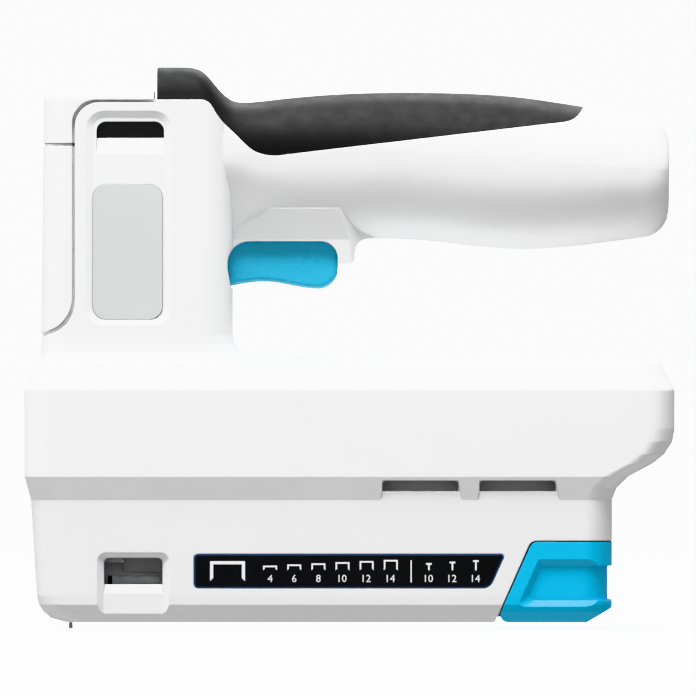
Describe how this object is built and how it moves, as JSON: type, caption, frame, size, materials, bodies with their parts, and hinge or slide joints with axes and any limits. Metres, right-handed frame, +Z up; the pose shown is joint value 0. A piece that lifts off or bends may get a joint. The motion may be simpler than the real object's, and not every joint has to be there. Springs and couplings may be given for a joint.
{
  "type": "cordless stapler",
  "caption": "Battery staple gun with a tall driver tower, a closed rubber-topped grip over a long base, a paddle trigger and a magazine that slides out of the rear.",
  "frame": {"origin": "under the middle of the tool, level with the tip of the driver blade", "axes": "+X from the nose to the rear end, +Y across the tool to its right side, +Z up from the sole to the grip"},
  "size_m": [0.205, 0.058, 0.1773],
  "materials": {
    "white_plastic": "fine satin moulded ABS",
    "soft_grip": "soft-touch overmould, matt charcoal",
    "badge_grey": "blank satin plate",
    "label_black": "printed film",
    "blue_plastic": "semi-gloss moulded",
    "screw_steel": "black zinc plated",
    "sheet_steel": "zinc plated sheet",
    "hard_steel": "hardened and ground",
    "bright_steel": "ground pin stock",
    "spring_steel": "drawn spring wire",
    "cast_seat": "die cast",
    "bumper_rubber": "moulded",
    "motor_metal": "drawn can",
    "black_plastic": "moulded nylon",
    "boot_rubber": "moulded silicone",
    "pane_black": "polished, near black",
    "dark_steel": "blackened sheet",
    "contact_brass": "stamped strip",
    "cell_wrap": "shrink wrapped",
    "circuit_board": "solder mask",
    "socket_metal": "stamped shell",
    "lead_insulation": "insulated wire"
  },
  "bodies": {
    "housing": {"left_shell": "white_plastic", "right_shell": "white_plastic", "front_cover": "white_plastic", "top_cap": "white_plastic", "grip_rubber": "soft_grip", "badge_plates": "badge_grey", "slot_panes": "pane_black", "size_label": "label_black", "housing_screws": "screw_steel", "drive_frame": "sheet_steel", "spring_seat": "cast_seat", "main_spring": "spring_steel", "nose_block": "hard_steel", "nose_pins": "bright_steel", "bumper": "bumper_rubber", "lift_axle": "bright_steel", "mid_axle": "bright_steel", "motor_can": "motor_metal", "motor_endbell": "black_plastic", "motor_terminals": "contact_brass", "gearhead": "motor_metal", "motor_screws": "screw_steel", "gear_plate": "sheet_steel", "gear_posts": "bright_steel", "magazine_channel": "dark_steel", "trigger_pin": "bright_steel", "trigger_spring": "spring_steel", "trigger_switch": "black_plastic", "switch_boot": "boot_rubber", "battery_cell": "cell_wrap", "battery_contacts": "contact_brass", "charge_board": "circuit_board", "charge_socket": "socket_metal", "control_board": "circuit_board", "power_transistors": "black_plastic", "battery_leads": "lead_insulation", "motor_leads": "lead_insulation"},
    "lifter": {"lift_sector": "hard_steel", "output_wheel": "hard_steel"},
    "driver": {"plunger": "hard_steel", "driver_blade": "hard_steel", "guide_pin": "bright_steel"},
    "idler": {"mid_gear": "hard_steel"},
    "motor_drive": {"motor_shaft": "bright_steel", "motor_pinion": "hard_steel"},
    "magazine": {"staple_rail": "sheet_steel", "magazine_cap": "blue_plastic", "spring_rod": "bright_steel", "pusher_spring": "spring_steel", "latch_pin": "bright_steel"},
    "pusher": {"staple_pusher": "black_plastic"},
    "latch": {"latch_lever": "black_plastic"},
    "trigger_lever": {"trigger": "blue_plastic"}
  },
  "joints": [
    {"name": "lift", "type": "hinge", "parent": "housing", "child": "lifter", "pos_m": [-0.063, 0, 0.0662], "axis": [0, 1, 0], "range_deg": [0, 84.1]},
    {"name": "drive", "type": "slide", "parent": "housing", "child": "driver", "axis": [0, 0, 1], "range_m": [0, 0.022], "stiffness_N_per_m": 3000, "springref_m": -0.01, "deforming": ["main_spring"]},
    {"name": "idle", "type": "hinge", "parent": "housing", "child": "idler", "pos_m": [-0.043, 0, 0.0662], "axis": [0, 1, 0], "range_deg": [-336.9, 0]},
    {"name": "motor", "type": "hinge", "parent": "housing", "child": "motor_drive", "pos_m": [-0.0255, 0, 0.0662], "axis": [0, 1, 0], "range_deg": [0, 1346.6]},
    {"name": "magazine_slide", "type": "slide", "parent": "housing", "child": "magazine", "axis": [1, 0, 0], "range_m": [0, 0.105]},
    {"name": "staple_feed", "type": "slide", "parent": "magazine", "child": "pusher", "axis": [1, 0, 0], "range_m": [0, 0.09], "stiffness_N_per_m": 50, "springref_m": -0.06, "deforming": ["pusher_spring"]},
    {"name": "latch_pivot", "type": "hinge", "parent": "magazine", "child": "latch", "pos_m": [0.0698, 0, 0.0046], "axis": [0, -1, 0], "range_deg": [0, 8], "stiffness_Nm_per_rad": 0.05, "springref_deg": -5.73},
    {"name": "trigger_pull", "type": "hinge", "parent": "housing", "child": "trigger_lever", "pos_m": [-0.032, 0, 0.1272], "axis": [0, -1, 0], "range_deg": [0, 8], "stiffness_Nm_per_rad": 0.8, "springref_deg": -5.73, "deforming": ["trigger_spring", "switch_boot"]}
  ],
  "couplings": [
    {"joint": "lift", "follows": "drive", "rad_per_m": 66.667},
    {"joint": "idle", "follows": "drive", "rad_per_m": -266.67},
    {"joint": "motor", "follows": "drive", "rad_per_m": 1066.7}
  ]
}
